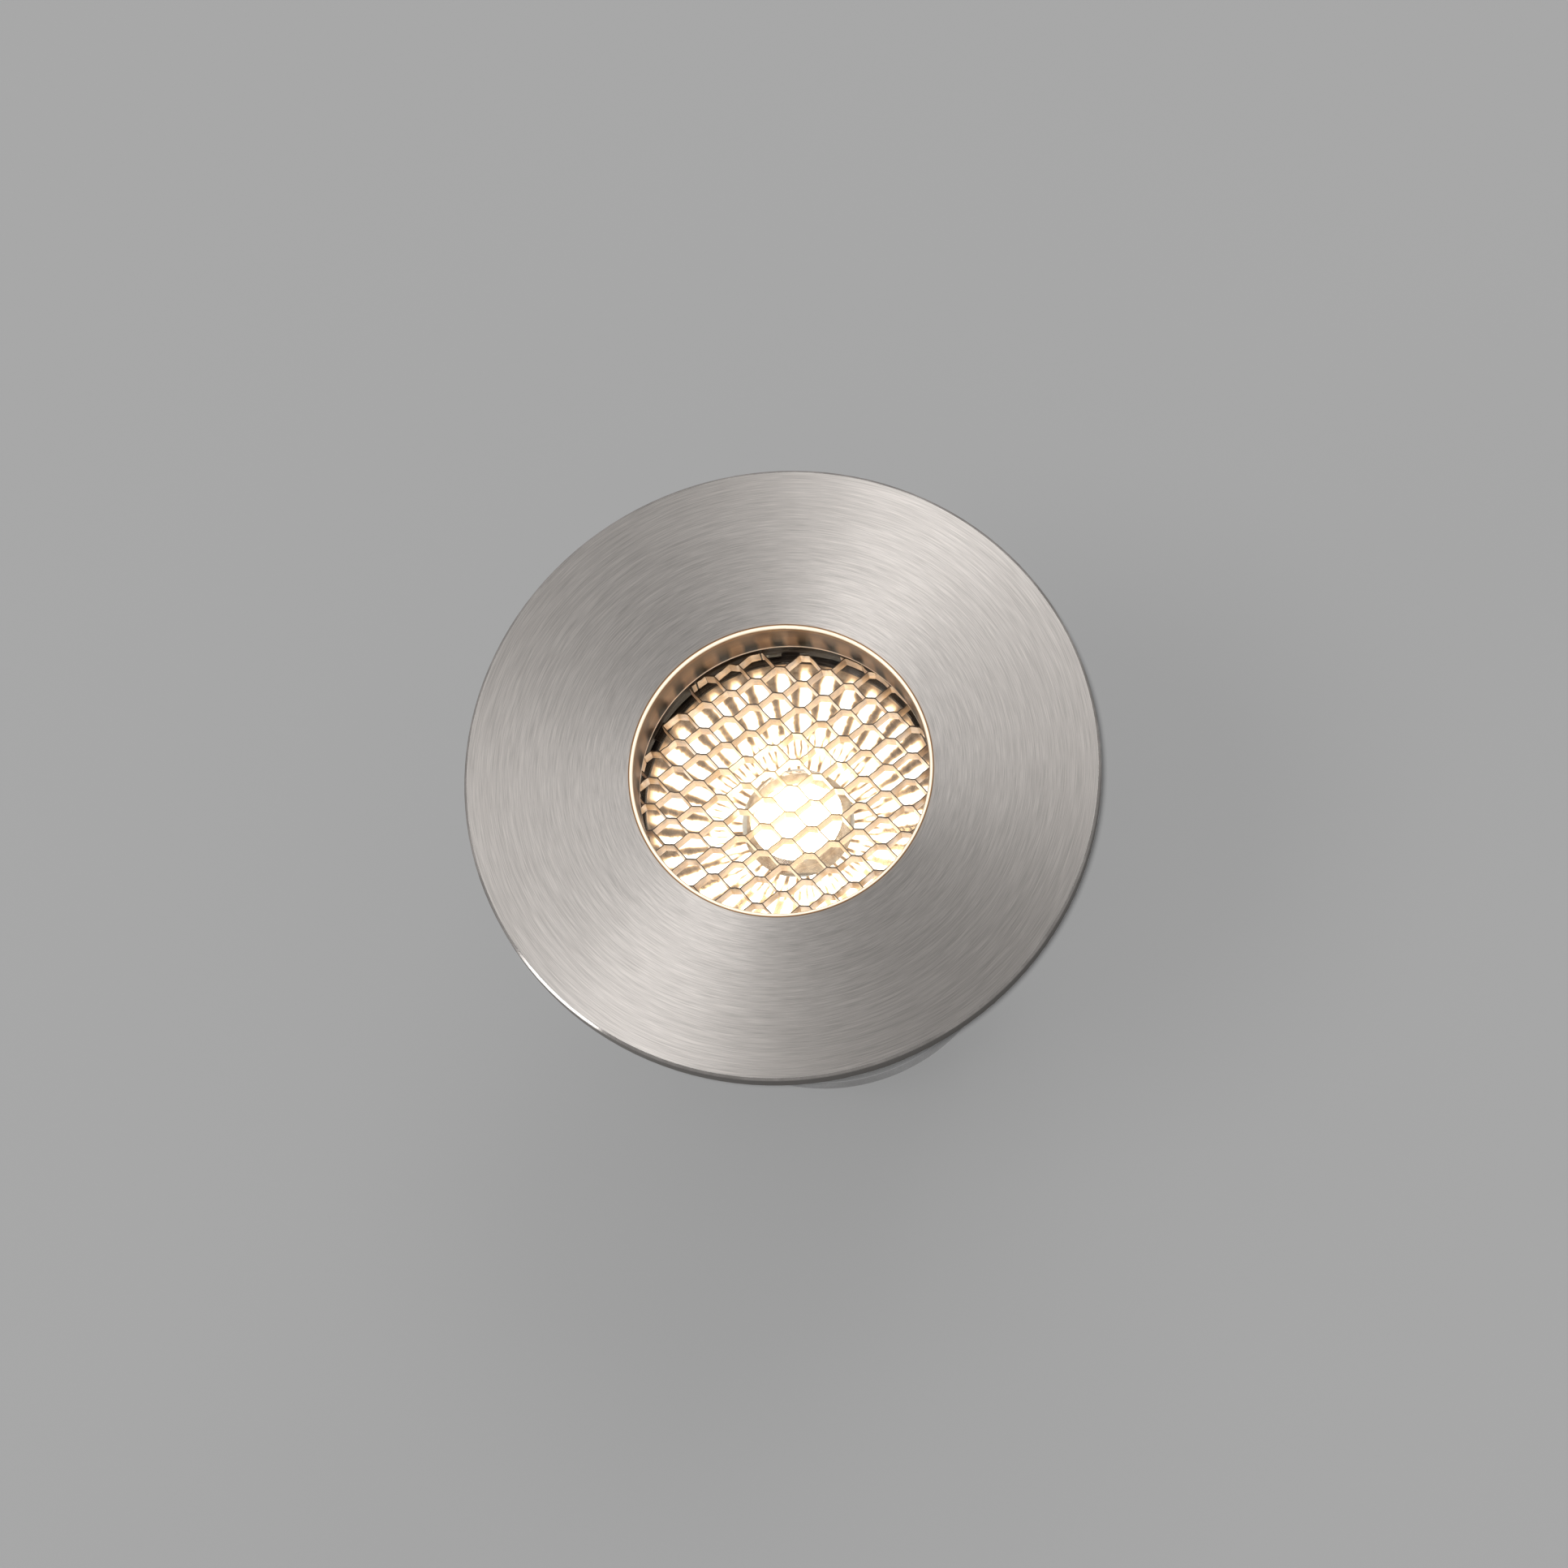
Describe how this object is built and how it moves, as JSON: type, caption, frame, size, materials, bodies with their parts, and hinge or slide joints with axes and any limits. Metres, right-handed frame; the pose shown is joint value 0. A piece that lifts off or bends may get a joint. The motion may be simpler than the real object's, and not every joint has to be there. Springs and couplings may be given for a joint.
{
  "type": "recessed light",
  "caption": "Round recessed outdoor light: flat brushed steel trim, honeycomb louvre over a faceted optic, finned sealed body, spring clips and a cable gland.",
  "frame": {"origin": "middle of the trim's seat, where its underside meets the face of the panel", "axes": "+Z along the optical axis, the way the light shines, and X through the two spring clips"},
  "size_m": [0.08, 0.08, 0.0832],
  "materials": {
    "stainless": "circular brushed",
    "clear_glass": "polished",
    "black_silicone": "matt",
    "foil": "satin",
    "clear_optic": "polished",
    "black_plastic": "satin",
    "phosphor": "matt",
    "ceramic_white": "matt",
    "board_white": "solder mask",
    "thermal_grey": "matt",
    "cast_aluminium": "cast and blasted",
    "screw_steel": "plain",
    "spring_steel": "drawn",
    "lead_red": "satin",
    "lead_black": "satin",
    "board_green": "solder mask",
    "ferrite": "matt",
    "can_black": "sleeved",
    "film_red": "dipped",
    "terminal_grey": "moulded",
    "nickel_brass": "nickel plated",
    "white_nylon": "moulded"
  },
  "bodies": {
    "luminaire": {"front_ring": "stainless", "seat_gasket": "black_silicone", "glass_gasket": "black_silicone", "clamp_gasket": "black_silicone", "cover_glass": "clear_glass", "louvre": "foil", "collimator": "clear_optic", "optic_holder": "black_plastic", "led_base": "ceramic_white", "led_emitter": "phosphor", "led_board": "board_white", "board_screws": "screw_steel", "thermal_pad": "thermal_grey", "housing": "cast_aluminium", "housing_seal": "black_silicone", "ring_screws": "screw_steel", "lead_grommet": "black_silicone", "lead_positive": "lead_red", "lead_negative": "lead_black", "driver_tray": "white_nylon", "driver_board": "board_green", "driver_inductor": "ferrite", "driver_capacitor": "can_black", "driver_filter": "film_red", "driver_chip": "black_plastic", "terminal_block": "terminal_grey", "rear_cap": "cast_aluminium", "rear_cap_seal": "black_silicone", "rear_cap_screws": "screw_steel", "gland_washer_seal": "black_silicone", "gland_body": "nickel_brass", "gland_locknut": "nickel_brass", "gland_seal": "black_silicone", "bracket_screws": "screw_steel", "clip_bracket_1": "stainless", "clip_bracket_2": "stainless", "clip_pin_1": "screw_steel", "clip_pin_2": "screw_steel"},
    "clip_one": {"clip_arm_1": "stainless", "clip_pad_1": "black_silicone", "clip_spring_1": "spring_steel"},
    "clip_two": {"clip_arm_2": "stainless", "clip_pad_2": "black_silicone", "clip_spring_2": "spring_steel"},
    "gland_thrust": {"gland_thrust_ring": "white_nylon"},
    "gland_nut": {"gland_nut": "nickel_brass"}
  },
  "joints": [
    {"name": "clip_one_swing", "type": "hinge", "parent": "luminaire", "child": "clip_one", "pos_m": [0.028, 0, -0.024], "axis": [0, 1, 0], "range_deg": [0, 155], "stiffness_Nm_per_rad": 0.06, "springref_deg": -28.65, "deforming": ["clip_spring_1"]},
    {"name": "clip_two_swing", "type": "hinge", "parent": "luminaire", "child": "clip_two", "pos_m": [-0.028, 0, -0.024], "axis": [0, -1, 0], "range_deg": [0, 155], "stiffness_Nm_per_rad": 0.06, "springref_deg": -28.65, "deforming": ["clip_spring_2"]},
    {"name": "gland_thrust_slide", "type": "slide", "parent": "luminaire", "child": "gland_thrust", "axis": [0, 0, -1], "range_m": [0, 0.0046]},
    {"name": "gland_nut_turn", "type": "hinge", "parent": "gland_thrust", "child": "gland_nut", "pos_m": [0, 0, -0.075], "axis": [0, 0, -1], "range_deg": [0, 1080]}
  ],
  "couplings": [
    {"joint": "gland_thrust_slide", "follows": "gland_nut_turn", "m_per_rad": 0.00023873}
  ]
}
